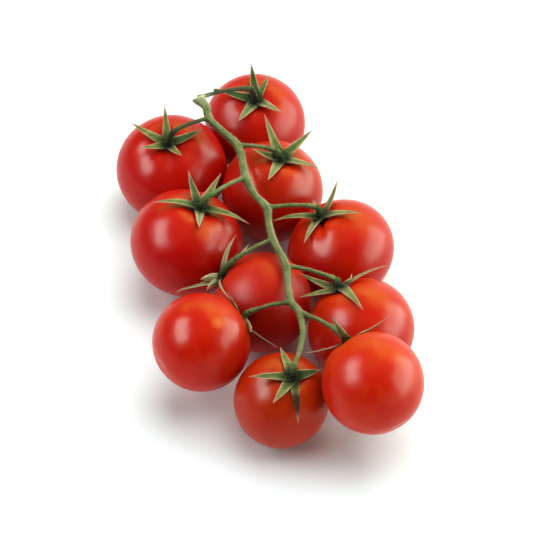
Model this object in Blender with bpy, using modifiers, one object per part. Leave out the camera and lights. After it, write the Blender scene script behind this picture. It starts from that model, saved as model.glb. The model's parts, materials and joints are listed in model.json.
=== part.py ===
"""Truss of ten cocktail tomatoes, as cut from the plant and laid on a table.

Frame: +Z up, table at Z = 0, +Y towards the cut end of the truss stem.
The origin is the point where the middle fruit (fruit_06) touches the table.
"""
import math

import bmesh
import bpy
from mathutils import Matrix, Vector
from mathutils.bvhtree import BVHTree

MM = 0.001

# Fruits, in millimetres and degrees: width across the shoulders, height as a share of it,
# centre x and y, lift of the lowest point above the table, lean of the stem axis from upright,
# and the direction on the table (0 = +X, 90 = +Y) that the stem end leans towards.
FRUITS = {
    1: dict(width=38.0, share=0.92, x=-1.5, y=89.3, lift=0.0, lean=15, toward=-83),
    2: dict(width=41.0, share=0.90, x=-32.3, y=63.9, lift=0.0, lean=14, toward=-102),
    3: dict(width=37.1, share=1.02, x=5.0, y=51.9, lift=0.0, lean=10, toward=-16),
    4: dict(width=40.2, share=0.92, x=-25.6, y=23.9, lift=2.2, lean=18, toward=18),
    5: dict(width=38.8, share=0.90, x=29.4, y=23.1, lift=0.0, lean=29, toward=158),
    6: dict(width=35.2, share=0.99, x=1.4, y=-1.0, lift=0.0, lean=69, toward=156),
    7: dict(width=37.0, share=0.96, x=35.6, y=-14.1, lift=0.0, lean=42, toward=131),
    8: dict(width=33.6, share=0.99, x=-19.0, y=-26.6, lift=9.2, lean=87, toward=35),
    9: dict(width=32.0, share=1.05, x=8.0, y=-43.9, lift=0.0, lean=16, toward=-32),
    10: dict(width=33.8, share=1.01, x=37.9, y=-48.5, lift=14.4, lean=67, toward=123),
}

# Fruit shape, as shares of half the width unless a length in mm.
HOLLOW_DEPTH = 0.13
HOLLOW_ANGLE = 0.30        # radians from the stem pole
BLOSSOM_DEPTH = 0.03
BLOSSOM_ANGLE = 0.16
GROOVE_DEPTH = 0.018       # soft grooves that run out over the shoulders
GROOVE_COUNT = 5
GROOVE_CENTRE = 0.55       # radians from the stem pole
GROOVE_SPREAD = 0.42
FURROW_FRUIT = 5           # the one fruit with a deep furrow in its shoulder
FURROW_BEARING = -96       # degrees round the fruit's axis
FURROW_DEPTH = 0.07
FURROW_HALF_WIDTH = 0.25   # radians
FURROW_REACH = 0.62        # radians from the stem pole
FRUIT_SEGMENTS = 24
FRUIT_RINGS = 16
FOOT_SINK = 0.30           # mm that a resting fruit is pressed flat on the table

# Truss stem (rachis): x, y, z and radius at each station, in mm, from the cut end to the tip.
RACHIS = [
    (-22.2, 74.4, 44.0, 2.2),
    (-19.2, 71.0, 43.0, 1.55),
    (-18.0, 66.2, 41.8, 1.4),
    (-13.4, 60.8, 40.8, 1.25),
    (-7.7, 54.2, 39.8, 1.5),
    (-5.6, 46.5, 39.2, 1.35),
    (-4.5, 38.9, 38.8, 1.5),
    (-1.0, 30.3, 38.4, 1.25),
    (3.0, 24.8, 38.0, 1.45),
    (3.7, 18.2, 37.4, 1.2),
    (5.1, 10.8, 36.8, 1.4),
    (7.4, 5.2, 36.4, 1.2),
    (9.6, -0.8, 36.0, 1.4),
    (10.2, -8.2, 35.4, 1.15),
    (11.2, -16.2, 34.8, 1.3),
    (14.0, -20.7, 34.6, 1.25),
    (15.1, -29.5, 34.6, 0.95),
    (14.1, -37.6, 34.6, 0.85),
]

CUT_NORMAL = (-0.35, 0.75, 0.56)   # the stem's top end is cut on a slant
RACHIS_RESOLUTION = 3      # bevel resolution, for ten sides

# Fruit stalks (pedicels): the rachis station each leaves from, and its knuckle, where the stalk
# bends down to the fruit and where a ripe fruit snaps off.
STALKS = {
    1: (0, (-3.6, 83.1, 40.4)),
    2: (2, (-30.4, 58.7, 42.3)),
    3: (4, (5.9, 51.3, 40.2)),
    4: (6, (-17.3, 25.7, 42.5)),
    5: (8, (20.1, 27.2, 36.0)),
    6: (10, (-7.9, 4.2, 33.7)),
    7: (12, (26.5, -3.1, 31.7)),
    8: (14, (-2.9, -15.8, 29.0)),
    9: (17, (12.0, -45.2, 35.7)),
    10: (15, (26.4, -32.1, 38.4)),
}
STALK_RADIUS = 0.72
STALK_RESOLUTION = 2       # bevel resolution, for eight sides
STALK_STEPS = 4            # spans between two points of a stalk's path
STALK_ARCH = 0.06          # rise of a stalk's middle, as a share of its reach
ROOT_SWELL = 0.35          # extra radius where a stalk leaves the truss stem, as a share
ROOT_SPREAD = 0.12         # share of the stalk's length that this swelling takes
KNUCKLE_SPREAD = 0.16      # share of the stalk's length that the knuckle's swelling takes
NECK_RADIUS = 1.05         # thicker stretch between the knuckle and the fruit
NECK_FOOT = 1.8            # mm of the neck that stands on the fruit before it bends away
NECK_SPREAD = 0.25         # share of the neck's length that the knuckle's swelling takes
NECK_FLARE = 0.60          # share of the neck's length where it starts to flare into the calyx
KNUCKLE_RADIUS = 1.15
KNUCKLE_GAP = 0.30         # hairline between a stalk and the neck at the knuckle

# Sepals: bearing round the fruit's axis, mean pitch above the shoulder, length in mm, curl (the
# change of pitch from root to tip in degrees, positive curls up), width in mm, and roll about the
# midrib in degrees (positive lifts the edge on the side of the next greater bearing).
SEPALS = {
    1: [(98, 14, 14, 15, 3.7, 0), (66, 8, 11, 25, 3.0, 0), (-36, 16, 11, -10, 3.6, 0),
        (-122, 14, 12, 10, 4.2, 0), (166, 8, 15, 15, 4.0, 0)],
    2: [(94, 16, 14, 10, 3.4, 0), (148, 10, 15, 10, 3.4, 0), (-156, 30, 10.5, 15, 3.2, 0),
        (-52, 28, 9.5, 10, 3.0, 0), (22, 8, 13, 20, 4.0, 0)],
    3: [(118, 30, 16.5, 10, 4.2, 0), (44, 26, 15, 10, 4.0, 0), (-12, 4, 13, -20, 3.2, 0),
        (-112, 8, 12, 10, 3.8, 0), (-178, 24, 11, 20, 3.8, 0)],
    4: [(118, 28, 13.5, 15, 3.8, 0), (66, 34, 14.5, 10, 3.6, 0), (-12, 4, 17.5, -35, 3.8, 0),
        (-92, 12, 12, 10, 3.6, 0), (-176, -5, 15.5, -45, 3.6, 0)],
    5: [(46, 26, 14, 30, 3.4, 0), (-22, -3, 15, -35, 3.4, 0), (-120, 2, 12.5, -20, 4.0, 0),
        (176, 20, 16.5, -40, 3.8, 0), (103, 2, 12, 10, 3.0, 0)],
    6: [(-12, 14, 15.5, -40, 3.0, 50), (8, -6, 14, 10, 4.2, 35), (174, 44, 16.5, -20, 3.8, -45),
        (-150, 56, 8, -60, 4.2, 60), (-160, 24, 6.5, -40, 3.4, 60), (-103, -22, 20, -60, 1.2, 0)],
    7: [(156, 44, 15, 20, 3.4, -30), (-176, 16, 14, 0, 3.2, -25), (-74, -20, 18, -45, 3.8, 0),
        (-4, 2, 17, -25, 2.2, 18), (64, 4, 10.5, 40, 2.8, 0)],
    8: [(-38, -12, 13.5, -20, 4.0, -45), (20, 26, 15, 15, 1.8, 0), (-110, -6, 12, -10, 2.4, 0),
        (-170, -20, 10, -20, 3.4, 0), (62, -20, 10, -20, 3.0, 0)],
    9: [(110, -2, 11, 10, 3.8, 0), (22, 4, 9.5, 10, 3.8, 0), (-82, -8, 15, -15, 3.2, 0),
        (-122, 4, 12, 10, 3.8, 0), (-172, 2, 14, -10, 3.4, 0)],
    10: [(-100, 32, 14.5, 20, 3.0, 0), (-10, 2, 14.5, 20, 2.6, 0), (-174, 16, 13.5, 20, 1.8, 0),
         (130, -5, 11, -10, 3.2, 0), (70, -5, 10, -10, 3.0, 0)],
}
SEPAL_THICKNESS = 0.7
SEPAL_FOLD = 0.35          # rise of the edges over the midrib, as a share of the half width
SEPAL_ROOT = 1.1           # mm from the fruit's axis
SEPAL_ROOT_RISE = 0.45     # mm over the underside of the rim
SEPAL_ROOT_SHARE = 1.1    # width at the root, as a share of the width given for the sepal
SEPAL_SWELL = 0.25          # how fast a sepal widens from its root
SEPAL_TAPER = 0.85          # how fast it narrows to its tip
SEPAL_TIP_WIDTH = 0.4
SEPAL_LIFT = 0.1           # mm more than FRUIT_GAP that the midrib keeps from the fruits
SEPAL_STEPS = 5
RIM_RADIUS = 2.3           # disc that the sepals grow from
RIM_HEIGHT = 1.5
RIM_TAPER = 0.8            # radius of the rim's top, as a share of its underside's
NECK_SEAT = 0.6            # mm over the underside of the rim where the neck ends
RIM_SIDES = 8
FRUIT_GAP = 0.35           # clearance that every green part keeps from the fruits

SMOOTH_ANGLE = math.radians(50)
WELD = 0.01 * MM           # points of a mesh nearer than this are one
END_REACH = 3.0            # mm, more than any tube's radius at its ends


def axis_of(spec):
    """Unit vector along a fruit's stem axis, from its lean and the direction it leans towards."""
    lean = math.radians(spec["lean"])
    toward = math.radians(spec["toward"])
    return Vector((math.sin(lean) * math.cos(toward), math.sin(lean) * math.sin(toward), math.cos(lean)))


def axis_frame(z, place):
    """Frame at place with +Z along the unit vector z and +X as near to the world's as it can be."""
    x = (Vector((1, 0, 0)) - z.x * z).normalized()
    y = z.cross(x)
    return Matrix.Translation(place) @ Matrix((x, y, z)).transposed().to_4x4()


def finish(obj, material, collection):
    """Links a finished object to the truss's collection with its material and soft shading."""
    for old in list(obj.users_collection):
        old.objects.unlink(obj)
    collection.objects.link(obj)
    obj.data.materials.clear()
    obj.data.materials.append(material)
    obj.data.shade_smooth()
    obj.data.set_sharp_from_angle(angle=SMOOTH_ANGLE)
    return obj


def make_material(name, colour, roughness):
    material = bpy.data.materials.new(name)
    material.use_nodes = True
    shader = material.node_tree.nodes["Principled BSDF"]
    shader.inputs["Base Color"].default_value = (*colour, 1)
    shader.inputs["Roughness"].default_value = roughness
    shader.inputs["Metallic"].default_value = 0
    return material


# Fruits


def fruit_point(direction, number):
    """Surface point, in half widths, for a unit direction in the fruit's own frame (+Z = stem end)."""
    polar = math.acos(max(-1, min(1, direction.z)))
    bearing = math.atan2(direction.y, direction.x)
    hollow = HOLLOW_DEPTH * math.exp(-((polar / HOLLOW_ANGLE) ** 2))
    blossom = BLOSSOM_DEPTH * math.exp(-(((math.pi - polar) / BLOSSOM_ANGLE) ** 2))
    shoulder = math.exp(-(((polar - GROOVE_CENTRE) / GROOVE_SPREAD) ** 2))
    groove = GROOVE_DEPTH * shoulder * (0.5 + 0.5 * math.cos(GROOVE_COUNT * bearing + number)) ** 2
    if number == FURROW_FRUIT:
        aside = math.remainder(bearing - math.radians(FURROW_BEARING), math.tau)
        groove = FURROW_DEPTH * math.exp(-((aside / FURROW_HALF_WIDTH) ** 2) - (polar / FURROW_REACH) ** 4)
    swell = 1 - groove
    height = FRUITS[number]["share"] * direction.z * swell - hollow + blossom
    return Vector((direction.x * swell, direction.y * swell, height))


def make_fruit(number, spec, material, collection):
    mesh = bpy.data.meshes.new(f"fruit_{number:02d}")
    turn = axis_frame(axis_of(spec), Vector())
    half = spec["width"] / 2 * MM
    bm = bmesh.new()
    bmesh.ops.create_uvsphere(bm, u_segments=FRUIT_SEGMENTS, v_segments=FRUIT_RINGS, radius=1)
    for vert in bm.verts:
        vert.co = fruit_point(vert.co.normalized(), number) * half
    lowest = min((turn @ vert.co).z for vert in bm.verts)
    height = spec["lift"] * MM - lowest
    if spec["lift"] == 0:
        height -= FOOT_SINK * MM
        up = turn.to_3x3().transposed() @ Vector((0, 0, 1))
        cut = bmesh.ops.bisect_plane(
            bm, geom=bm.verts[:] + bm.edges[:] + bm.faces[:],
            plane_co=-up * height, plane_no=up, clear_inner=True)
        rim = [item for item in cut["geom_cut"] if isinstance(item, bmesh.types.BMEdge)]
        bmesh.ops.contextual_create(bm, geom=rim)
        bmesh.ops.recalc_face_normals(bm, faces=bm.faces)
    bm.to_mesh(mesh)
    bm.free()
    obj = bpy.data.objects.new(mesh.name, mesh)
    obj.matrix_world = Matrix.Translation((spec["x"] * MM, spec["y"] * MM, height)) @ turn
    return finish(obj, material, collection)


def surface_tree(obj):
    """Search tree of an object's faces in world space."""
    corners = [obj.matrix_world @ vert.co for vert in obj.data.vertices]
    return BVHTree.FromPolygons(corners, [tuple(face.vertices) for face in obj.data.polygons])


def pushed_clear(point, trees, gap):
    """The point, moved straight out of any fruit that it is in or nearer to than gap."""
    for tree in trees:
        place, normal, _, _ = tree.find_nearest(point)
        outside = (point - place).dot(normal)
        near = (point - place).length
        if outside < 0 or near < gap:
            point = place + normal * gap
    return point


# Stem and stalks


def smooth_path(points, steps):
    """Catmull-Rom curve through points, each a tuple of numbers, with steps spans between two."""
    knots = [Vector(p) for p in points]
    first = knots[0] * 2 - knots[1]
    last = knots[-1] * 2 - knots[-2]
    knots = [first] + knots + [last]
    path = []
    for a, b, c, d in zip(knots, knots[1:], knots[2:], knots[3:]):
        for step in range(steps):
            t = step / steps
            path.append(0.5 * (2 * b + (c - a) * t + (2 * a - 5 * b + 4 * c - d) * t * t
                               + (3 * b - a - 3 * c + d) * t * t * t))
    path.append(knots[-2])
    return path


def slide_end(bm, place, along, normal):
    """Slides the ring of a tube's end at place along the tube until it lies square to normal."""
    for vert in bm.verts:
        offset = vert.co - place
        if offset.length < END_REACH * MM and abs(offset.dot(along)) < WELD:
            vert.co -= along * (offset.dot(normal) / along.dot(normal))


def tube(name, points, resolution, collection, end_normals=(None, None)):
    """Closed mesh tube along points of (x, y, z, radius), with ends square or on given planes."""
    curve = bpy.data.curves.new(name, "CURVE")
    curve.dimensions = "3D"
    curve.bevel_depth = MM
    curve.bevel_resolution = resolution
    curve.use_fill_caps = True
    spline = curve.splines.new("POLY")
    spline.points.add(len(points) - 1)
    for knot, (x, y, z, radius) in zip(spline.points, points):
        knot.co = (x, y, z, 1)
        knot.radius = radius / MM
    guide = bpy.data.objects.new(name, curve)
    collection.objects.link(guide)
    bpy.context.view_layer.update()
    mesh = bpy.data.meshes.new_from_object(guide.evaluated_get(bpy.context.evaluated_depsgraph_get()))
    bpy.data.objects.remove(guide)
    places = [Vector(p[:3]) for p in points]
    bm = bmesh.new()
    bm.from_mesh(mesh)
    bmesh.ops.remove_doubles(bm, verts=bm.verts, dist=WELD)
    for end, beside, normal in ((0, 1, end_normals[0]), (-1, -2, end_normals[1])):
        if normal:
            slide_end(bm, places[end], (places[end] - places[beside]).normalized(), normal)
    bmesh.ops.recalc_face_normals(bm, faces=bm.faces)
    bm.to_mesh(mesh)
    bm.free()
    obj = bpy.data.objects.new(name, mesh)
    collection.objects.link(obj)
    return obj


def keep_outer_shell(mesh):
    """Drops loose scraps, and fills sealed hollows, by keeping the mesh's largest shell alone."""
    bm = bmesh.new()
    bm.from_mesh(mesh)
    waiting = set(bm.verts)
    shells = []
    while waiting:
        reached = [waiting.pop()]
        shell = []
        while reached:
            vert = reached.pop()
            shell.append(vert)
            for edge in vert.link_edges:
                other = edge.other_vert(vert)
                if other in waiting:
                    waiting.remove(other)
                    reached.append(other)
        shells.append(shell)
    shells.sort(key=len)
    for shell in shells[:-1]:
        bmesh.ops.delete(bm, geom=shell, context="VERTS")
    bm.to_mesh(mesh)
    bm.free()


def union(base, pieces):
    """Joins the pieces into base as one closed body and removes them."""
    guides = bpy.data.collections.new(base.name + "_pieces")
    bpy.context.scene.collection.children.link(guides)
    for piece in pieces:
        for old in list(piece.users_collection):
            old.objects.unlink(piece)
        guides.objects.link(piece)
    joiner = base.modifiers.new("join", "BOOLEAN")
    joiner.operation = "UNION"
    joiner.operand_type = "COLLECTION"
    joiner.collection = guides
    joiner.solver = "MANIFOLD"
    bpy.context.view_layer.update()
    evaluated = base.evaluated_get(bpy.context.evaluated_depsgraph_get())
    joined = bpy.data.meshes.new_from_object(evaluated)
    keep_outer_shell(joined)
    base.modifiers.clear()
    base.data = joined
    for piece in pieces:
        bpy.data.objects.remove(piece)
    bpy.data.collections.remove(guides)
    return base


def calyx_frame(number, fruits):
    """Frame on the floor of the fruit's stem hollow, with +Z along the fruit's axis."""
    spec = FRUITS[number]
    floor = Vector((0, 0, (spec["share"] - HOLLOW_DEPTH) * spec["width"] / 2 * MM))
    return axis_frame(axis_of(spec), fruits[number].matrix_world @ floor)


def stalk_paths(number, fruits, trees):
    """Points of the stalk up to the knuckle, of the neck on to the fruit, and the way they run there."""
    station, knuckle = STALKS[number]
    root = Vector(RACHIS[station][:3]) * MM
    knuckle = Vector(knuckle) * MM
    frame = calyx_frame(number, fruits)
    seat = frame @ Vector((0, 0, (FRUIT_GAP + NECK_SEAT) * MM))
    rise = (axis_of(FRUITS[number]) + (knuckle - seat).normalized()).normalized()
    above = seat + rise * (NECK_FOOT * MM)
    arch = Vector((0, 0, STALK_ARCH * (knuckle - root).length))
    middle = pushed_clear((root + knuckle) / 2 + arch, trees, (STALK_RADIUS + FRUIT_GAP) * MM)
    path = smooth_path([root, middle, knuckle, above, seat], STALK_STEPS)
    bend = 2 * STALK_STEPS
    flow = (path[bend + 1] - path[bend - 1]).normalized()
    half_gap = flow * (KNUCKLE_GAP / 2 * MM)
    stalk = path[:bend] + [knuckle - half_gap]
    neck = [knuckle + half_gap] + path[bend + 1:]
    return stalk, neck, flow


def swelling(share):
    """Radius of a stalk at this share of its length: stout root, slim middle, swollen knuckle."""
    root = ROOT_SWELL * math.exp(-((share / ROOT_SPREAD) ** 2))
    knuckle = (KNUCKLE_RADIUS / STALK_RADIUS - 1) * math.exp(-(((1 - share) / KNUCKLE_SPREAD) ** 2))
    return STALK_RADIUS * (1 + root + knuckle)


def make_stem(fruits, trees, material, collection):
    course = smooth_path([(x * MM, y * MM, z * MM, r * MM) for x, y, z, r in RACHIS], 2)
    stem = tube("stem", course, RACHIS_RESOLUTION, collection, (Vector(CUT_NORMAL), None))
    stalks = []
    for number in STALKS:
        path, _, flow = stalk_paths(number, fruits, trees)
        last = len(path) - 1
        points = [(*p, swelling(i / last) * MM) for i, p in enumerate(path)]
        stalks.append(tube(f"stalk_{number}", points, STALK_RESOLUTION, collection, (None, flow)))
    return finish(union(stem, stalks), material, collection)


# Calyxes


def sepal_half_width(share, width):
    """Half width of a sepal at this share of its length: broad low down, drawn out to a point."""
    blade = width / 2 * (1 - share) ** SEPAL_TAPER * (SEPAL_ROOT_SHARE + SEPAL_SWELL * share)
    return max(blade, SEPAL_TIP_WIDTH / 2) * MM


def sepal_spine(pitch, length, curl):
    """Points along the midrib as (out from the axis, up along it), and the pitch at each."""
    out = SEPAL_ROOT * MM
    up = (FRUIT_GAP + SEPAL_ROOT_RISE) * MM
    spine = []
    for step in range(SEPAL_STEPS + 1):
        angle = math.radians(pitch + curl * (step / SEPAL_STEPS - 0.5))
        spine.append((out, up, angle))
        out += length * MM / SEPAL_STEPS * math.cos(angle)
        up += length * MM / SEPAL_STEPS * math.sin(angle)
    return spine


def make_sepal(name, frame, trees, sepal, collection):
    bearing, pitch, length, curl, width, roll = sepal
    spine = sepal_spine(pitch, length, curl)
    turn = Matrix.Rotation(math.radians(bearing), 4, "Z")
    roll = math.radians(roll)
    back = frame.inverted()
    bm = bmesh.new()
    bmesh.ops.create_grid(bm, x_segments=SEPAL_STEPS, y_segments=2, size=1)
    for vert in bm.verts:
        share = (vert.co.x + 1) / 2
        across = vert.co.y
        out, up, angle = spine[round(share * SEPAL_STEPS)]
        half = sepal_half_width(share, width)
        fold = SEPAL_FOLD * half * abs(across)
        aside = across * half * math.cos(roll) - fold * math.sin(roll)
        rise = across * half * math.sin(roll) + fold * math.cos(roll)
        place = Vector((out - rise * math.sin(angle), aside, up + rise * math.cos(angle)))
        world = pushed_clear(frame @ turn @ place, trees, (FRUIT_GAP + SEPAL_LIFT) * MM)
        vert.co = back @ world
    mesh = bpy.data.meshes.new(name)
    bm.to_mesh(mesh)
    bm.free()
    obj = bpy.data.objects.new(name, mesh)
    obj.matrix_world = frame
    collection.objects.link(obj)
    skin = obj.modifiers.new("thickness", "SOLIDIFY")
    skin.thickness = SEPAL_THICKNESS * MM
    skin.offset = 1
    return obj


def make_rim(name, frame, collection):
    """Small disc in the stem hollow, which the sepals grow from."""
    mesh = bpy.data.meshes.new(name)
    bm = bmesh.new()
    bmesh.ops.create_cone(
        bm, cap_ends=True, segments=RIM_SIDES, depth=RIM_HEIGHT * MM,
        radius1=RIM_RADIUS * MM, radius2=RIM_RADIUS * RIM_TAPER * MM,
        matrix=Matrix.Translation((0, 0, (FRUIT_GAP + RIM_HEIGHT / 2) * MM)))
    bm.to_mesh(mesh)
    bm.free()
    obj = bpy.data.objects.new(name, mesh)
    obj.matrix_world = frame
    collection.objects.link(obj)
    return obj


def make_calyx(number, fruits, trees, material, collection):
    frame = calyx_frame(number, fruits)
    back = frame.inverted()
    _, neck, flow = stalk_paths(number, fruits, trees)
    flow = back.to_3x3() @ flow
    last = len(neck) - 1
    points = []
    for i, place in enumerate(neck):
        share = i / last
        knuckle = (KNUCKLE_RADIUS - NECK_RADIUS) * math.exp(-((share / NECK_SPREAD) ** 2))
        flare = (RIM_RADIUS - NECK_RADIUS) * max(0, (share - NECK_FLARE) / (1 - NECK_FLARE)) ** 2
        points.append((*(back @ place), (NECK_RADIUS + knuckle + flare) * MM))
    name = f"calyx_{number:02d}"
    calyx = tube(name, points, STALK_RESOLUTION, collection, (flow, Vector((0, 0, 1))))
    calyx.matrix_world = frame
    blades = [make_sepal(f"{name}_sepal_{i}", frame, trees, sepal, collection)
              for i, sepal in enumerate(SEPALS[number])]
    rim = make_rim(f"{name}_rim", frame, collection)
    return finish(union(calyx, blades + [rim]), material, collection)


def main():
    for old in list(bpy.data.objects):
        bpy.data.objects.remove(old)
    truss = bpy.data.collections.new("tomato_truss")
    bpy.context.scene.collection.children.link(truss)
    skin = make_material("tomato_skin", (0.62, 0.03, 0.015), 0.22)
    green = make_material("truss_green", (0.16, 0.26, 0.07), 0.6)
    fruits = {n: make_fruit(n, spec, skin, truss) for n, spec in FRUITS.items()}
    trees = [surface_tree(obj) for obj in fruits.values()]
    make_stem(fruits, trees, green, truss)
    for number in FRUITS:
        make_calyx(number, fruits, trees, green, truss)


main()
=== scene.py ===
"""Truss of ten cocktail tomatoes: fine fruits, calyxes, stem and hairs round the fixed frame.

The tables and formulas of the shapes are those of the frame, in millimetres and degrees; the
objects are in metres. +Z is up, the table is at Z = 0, and +Y points to the cut end of the stem.
"""

import json
import math
import random

import bmesh
import bpy
from mathutils import Matrix, Vector, noise
from mathutils.bvhtree import BVHTree

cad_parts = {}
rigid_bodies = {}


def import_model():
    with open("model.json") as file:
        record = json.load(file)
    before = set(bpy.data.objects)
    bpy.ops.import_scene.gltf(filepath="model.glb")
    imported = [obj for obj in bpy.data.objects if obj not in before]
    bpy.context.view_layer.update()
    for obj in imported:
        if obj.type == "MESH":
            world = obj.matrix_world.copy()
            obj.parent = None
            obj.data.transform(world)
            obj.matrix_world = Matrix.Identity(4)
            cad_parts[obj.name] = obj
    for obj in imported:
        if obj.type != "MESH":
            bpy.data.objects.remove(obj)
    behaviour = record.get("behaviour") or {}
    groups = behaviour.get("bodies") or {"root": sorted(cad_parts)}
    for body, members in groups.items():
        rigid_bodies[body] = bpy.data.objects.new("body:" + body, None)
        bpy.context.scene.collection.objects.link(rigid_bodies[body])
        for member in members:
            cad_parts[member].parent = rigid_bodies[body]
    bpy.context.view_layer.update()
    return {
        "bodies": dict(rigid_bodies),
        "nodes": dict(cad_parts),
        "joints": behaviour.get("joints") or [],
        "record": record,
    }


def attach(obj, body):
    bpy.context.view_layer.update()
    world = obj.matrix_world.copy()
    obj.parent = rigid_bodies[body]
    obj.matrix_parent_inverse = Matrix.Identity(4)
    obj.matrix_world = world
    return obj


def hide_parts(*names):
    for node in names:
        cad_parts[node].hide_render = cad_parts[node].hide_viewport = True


MM = 0.001
BODY = "root"

# Fruits: width across the shoulders, height as a share of it, centre x and y, lift of the lowest
# point above the table, lean of the stem axis from upright, and the direction on the table
# (0 = +X, 90 = +Y) that the stem end leans towards.
FRUITS = {
    1: dict(width=38.0, share=0.92, x=-1.5, y=89.3, lift=0.0, lean=15, toward=-83),
    2: dict(width=41.0, share=0.90, x=-32.3, y=63.9, lift=0.0, lean=14, toward=-102),
    3: dict(width=37.1, share=1.02, x=5.0, y=51.9, lift=0.0, lean=10, toward=-16),
    4: dict(width=40.2, share=0.92, x=-25.6, y=23.9, lift=2.2, lean=18, toward=18),
    5: dict(width=38.8, share=0.90, x=29.4, y=23.1, lift=0.0, lean=29, toward=158),
    6: dict(width=35.2, share=0.99, x=1.4, y=-1.0, lift=0.0, lean=69, toward=156),
    7: dict(width=37.0, share=0.96, x=35.6, y=-14.1, lift=0.0, lean=42, toward=131),
    8: dict(width=33.6, share=0.99, x=-19.0, y=-26.6, lift=9.2, lean=87, toward=35),
    9: dict(width=32.0, share=1.05, x=8.0, y=-43.9, lift=0.0, lean=16, toward=-32),
    10: dict(width=33.8, share=1.01, x=37.9, y=-48.5, lift=14.4, lean=67, toward=123),
}
# How far each fruit is from deep red (0) towards orange (1), and how far it is browned (1).
ORANGE = {1: 0.15, 2: 0.08, 3: 0.40, 4: 0.15, 5: 0.45, 6: 0.20, 7: 0.65, 8: 0.70, 9: 0.60, 10: 1.00}
BROWN = {1: 0, 2: 0, 3: 0.1, 4: 0, 5: 0, 6: 0.15, 7: 0, 8: 0, 9: 0.7, 10: 0}
# Roughness of the coat of the duller fruits; the others have PLAIN_COAT.
COAT_ROUGHNESS = {1: 0.32, 2: 0.27, 3: 0.29, 4: 0.27, 5: 0.29, 6: 0.44, 7: 0.27, 9: 0.28, 10: 0.29}
PLAIN_COAT = 0.24
# Fruits with a painted highlight, a soft orange glint of a warm lamp painted into the skin colour:
# how strong it is, its reach in degrees, and the side of the fruit that it is on.
PAINTED_GLINTS = {
    4: (0.55, 16, Vector((0.38, -0.37, 0.85))),
    8: (1.00, 10, Vector((0.35, -0.26, 0.90))),
}

# Fruit shape, as shares of half the width.
HOLLOW_DEPTH = 0.13
HOLLOW_ANGLE = 0.30
BLOSSOM_DEPTH = 0.03
BLOSSOM_ANGLE = 0.16
GROOVE_DEPTH = 0.018
GROOVE_COUNT = 5
GROOVE_CENTRE = 0.55
GROOVE_SPREAD = 0.42
FURROW_FRUIT = 5
FURROW_BEARING = -96
FURROW_DEPTH = 0.07
FURROW_HALF_WIDTH = 0.25
FURROW_REACH = 0.62
FOOT_SINK = 0.30
POSE_SEGMENTS = 24         # steps round and down a fruit, to find its lowest point
POSE_RINGS = 16
FRUIT_SEGMENTS = 112
FRUIT_RINGS = 72
WAVE_HEIGHT = 0.004        # soft waves of the skin, as a share of half the width
WAVE_SIZE = 0.55           # their size, as a share of half the width

# Truss stem: x, y, z and radius at each station, from the cut end to the tip.
RACHIS = [
    (-22.2, 74.4, 44.0, 2.2),
    (-19.2, 71.0, 43.0, 1.55),
    (-18.0, 66.2, 41.8, 1.4),
    (-13.4, 60.8, 40.8, 1.25),
    (-7.7, 54.2, 39.8, 1.5),
    (-5.6, 46.5, 39.2, 1.35),
    (-4.5, 38.9, 38.8, 1.5),
    (-1.0, 30.3, 38.4, 1.25),
    (3.0, 24.8, 38.0, 1.45),
    (3.7, 18.2, 37.4, 1.2),
    (5.1, 10.8, 36.8, 1.4),
    (7.4, 5.2, 36.4, 1.2),
    (9.6, -0.8, 36.0, 1.4),
    (10.2, -8.2, 35.4, 1.15),
    (11.2, -16.2, 34.8, 1.3),
    (14.0, -20.7, 34.6, 1.25),
    (15.1, -29.5, 34.6, 0.95),
    (14.1, -37.6, 34.6, 0.85),
]
CUT_NORMAL = Vector((-0.35, 0.75, 0.56))       # square to the slanted cut
RACHIS_STEPS = 6
RACHIS_SIDES = 30
RIDGES = 5                 # soft ribs along the stem
RIDGE_HEIGHT = 0.06        # as a share of the radius
RIDGE_TWIST = 2.2          # radians along the whole stem
KNOBS_TO_METRE = 700       # small unevenness of the stem, and its height
KNOB_HEIGHT = 0.06
CUT_SKIN = 0.35            # depth of the pale cut face, and its reach from the middle
CUT_REACH = 3.0
CUT_PALE = 0.75            # how pale the stem is behind the cut face, and how far down that fades
CUT_FADE = 7.0
LIT_SIDE = Vector((0.62, 0.58, 0.53))          # the side of the stem painted tan as if lit; the opposite side is painted in shade
SCALE_STALK = 1            # stalk with a small scale on it, and the scale's place and form
SCALE_SHARE = 0.42
SCALE_LENGTH = 2.6
SCALE_RADIUS = 0.95
SCALE_LEAN = Vector((-0.80, 0.10, 0.60))
SCALE_STEPS = 4
SCALE_TAPER = 0.80         # share of its radius that it loses up to its tip
SCALE_FLATNESS = 0.30      # 0 = round, 0.5 = a thin leaf

# Fruit stalks: the rachis station each leaves from, and its knuckle.
STALKS = {
    1: (0, (-3.6, 83.1, 40.4)),
    2: (2, (-30.4, 58.7, 42.3)),
    3: (4, (5.9, 51.3, 40.2)),
    4: (6, (-17.3, 25.7, 42.5)),
    5: (8, (20.1, 27.2, 36.0)),
    6: (10, (-7.9, 4.2, 33.7)),
    7: (12, (26.5, -3.1, 31.7)),
    8: (14, (-2.9, -15.8, 29.0)),
    9: (17, (12.0, -45.2, 35.7)),
    10: (15, (26.4, -32.1, 38.4)),
}
STALK_RADIUS = 0.72
STALK_SIDES = 20
STALK_STEPS = 10
STALK_ARCH = 0.06
DARK_STALKS = {1: 0.85, 2: 0.85}               # how dark these stalks and their necks get
DARK_START = 0.35          # share of their length over which they darken
DARK_REACH = 1.6           # how far from their middle line the bark is dark
ROOT_SWELL = 0.55          # swelling where a stalk leaves the stem, as a share of its radius
ROOT_SPREAD = 0.14         # share of the stalk over which it fades
KNUCKLE_SPREAD = 0.16      # the same for the knuckle
NECK_RADIUS = 1.05
NECK_FOOT = 1.8            # height over which the neck runs along the fruit's axis
NECK_SPREAD = 0.25         # share of the neck over which the knuckle fades
NECK_FLARE = 0.55          # share of the neck at which it starts to widen
NECK_SEAT = 0.6
KNUCKLE_RADIUS = 1.15
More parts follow.
